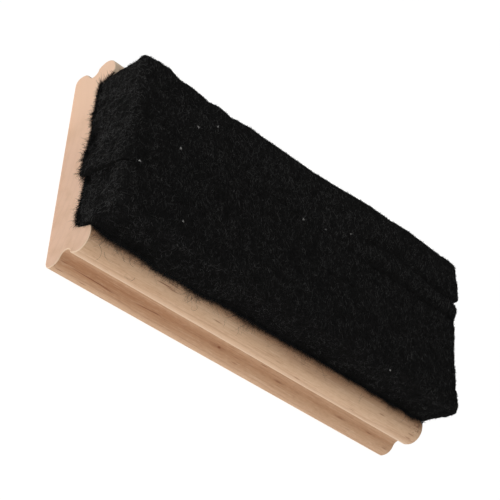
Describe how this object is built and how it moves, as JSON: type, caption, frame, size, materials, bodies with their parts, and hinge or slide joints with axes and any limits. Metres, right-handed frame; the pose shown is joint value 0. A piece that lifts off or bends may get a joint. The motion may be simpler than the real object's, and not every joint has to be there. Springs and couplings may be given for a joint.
{
  "type": "chalkboard eraser",
  "caption": "Wooden-backed chalkboard eraser: a beech handle with finger coves and beads, and black felt strips glued on edge in its channel for wiping a board.",
  "frame": {"origin": "middle of the handle's flat back", "axes": "+X along the handle, +Y across it towards felt strip 1, +Z from the back to the wiping face"},
  "size_m": [0.1016, 0.0488, 0.023],
  "materials": {
    "beech": "fine sanded, bare",
    "felt": "fibrous, matt",
    "glue": "dried film"
  },
  "bodies": {
    "root": {"handle": "beech", "glue_bed": "glue", "felt_strip_1": "felt", "felt_strip_2": "felt", "felt_strip_3": "felt", "felt_strip_4": "felt", "felt_strip_5": "felt", "felt_strip_6": "felt", "felt_strip_7": "felt", "felt_strip_8": "felt"}
  },
  "joints": []
}
